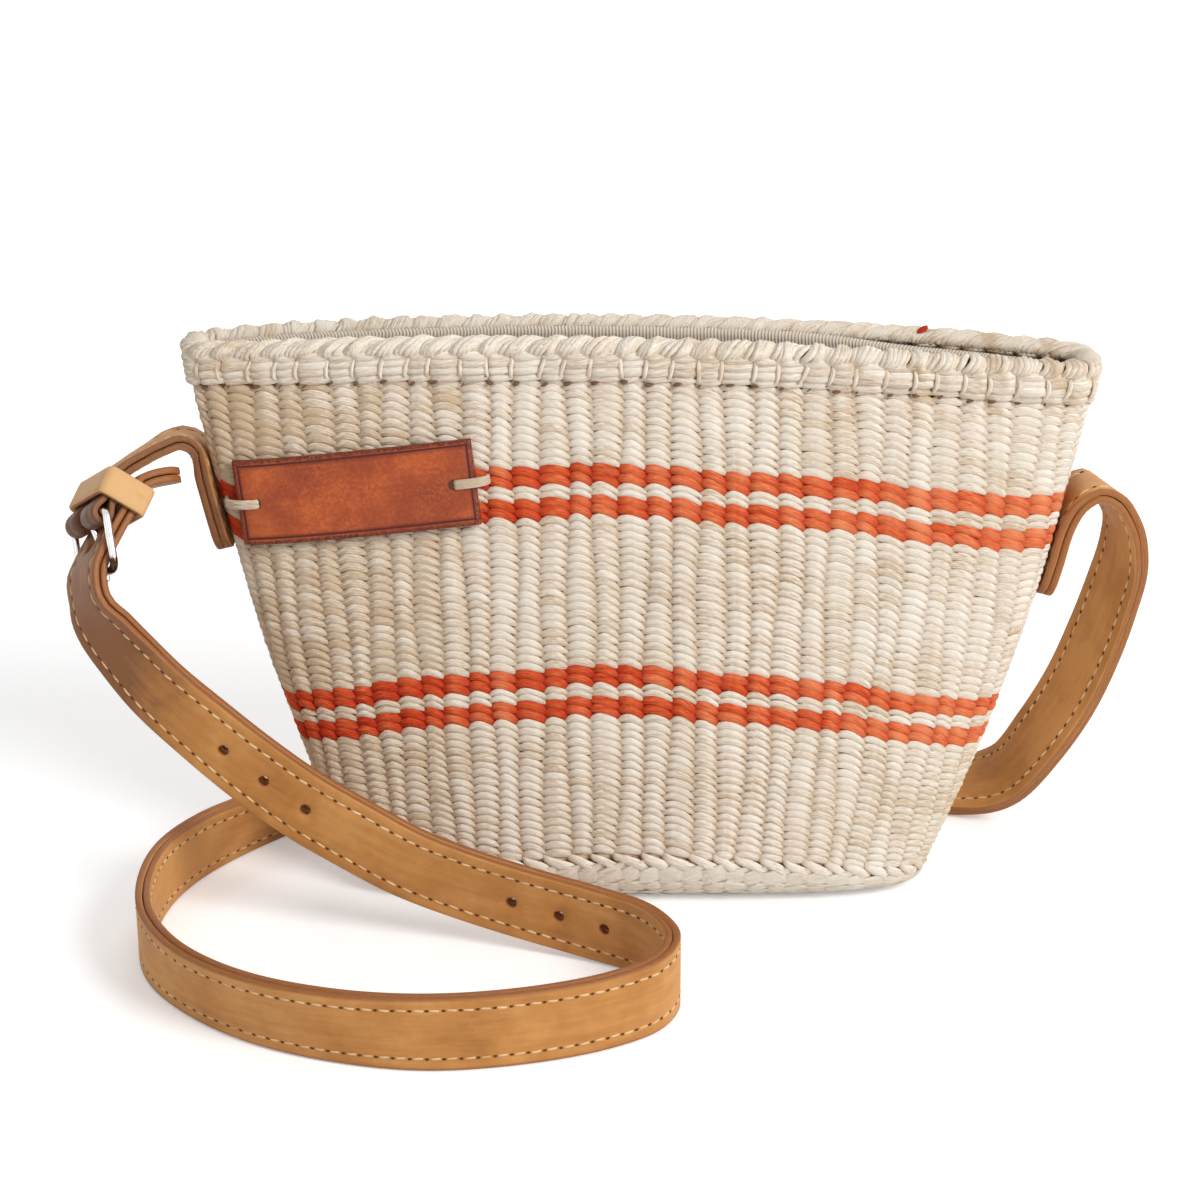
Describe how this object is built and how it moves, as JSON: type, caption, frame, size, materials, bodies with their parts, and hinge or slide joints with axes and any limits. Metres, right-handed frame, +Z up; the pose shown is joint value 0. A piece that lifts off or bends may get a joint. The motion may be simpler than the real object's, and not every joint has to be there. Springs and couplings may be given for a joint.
{
  "type": "crossbody bag",
  "caption": "Flat trapezoid basket bag of twined sisal with coloured rows, a bound rim, a leather label and a long leather strap through a buckle.",
  "frame": {"origin": "on the floor, under the middle of the basket's flat bottom", "axes": "+X to the bag's right end, where the strap's foot is sewn; +Y to its back; +Z up to the mouth"},
  "size_m": [0.3037, 0.188, 0.1633],
  "materials": {
    "sisal": "twined plant fibre, matt",
    "dyed_sisal": "dyed twined plant fibre, matt",
    "lining_cloth": "fine ribbed cloth, matt",
    "strap_leather": "vegetable tanned, satin",
    "label_leather": "mottled, dark edges, satin",
    "nickel": "polished nickel wire"
  },
  "bodies": {
    "bag": {"basket_body": "sisal", "turn_braid": "sisal", "stripe_lower_bottom": "dyed_sisal", "stripe_lower_top": "dyed_sisal", "stripe_upper_bottom": "dyed_sisal", "stripe_upper_top": "dyed_sisal", "rim_binding": "sisal", "lining": "lining_cloth", "label": "label_leather", "label_tie_left": "sisal", "label_tie_right": "sisal", "buckle_tab": "strap_leather", "strap_outer": "strap_leather", "strap_inner": "strap_leather"},
    "buckle": {"buckle_frame": "nickel"},
    "prong": {"buckle_prong": "nickel"},
    "keeper": {"keeper_loop": "strap_leather"}
  },
  "joints": [
    {"name": "buckle_swing", "type": "hinge", "parent": "bag", "child": "buckle", "pos_m": [-0.15212, -0.02601, 0.11508], "axis": [0.4613, -0.732, 0.5014], "range_deg": [0, 4]},
    {"name": "prong_lift", "type": "hinge", "parent": "buckle", "child": "prong", "pos_m": [-0.15212, -0.02601, 0.11508], "axis": [0.4613, -0.732, 0.5014], "range_deg": [0, 2.5]},
    {"name": "keeper_slide", "type": "slide", "parent": "bag", "child": "keeper", "axis": [0.3657, 0.6717, 0.6443], "range_m": [-0.0008, 0.001]}
  ]
}
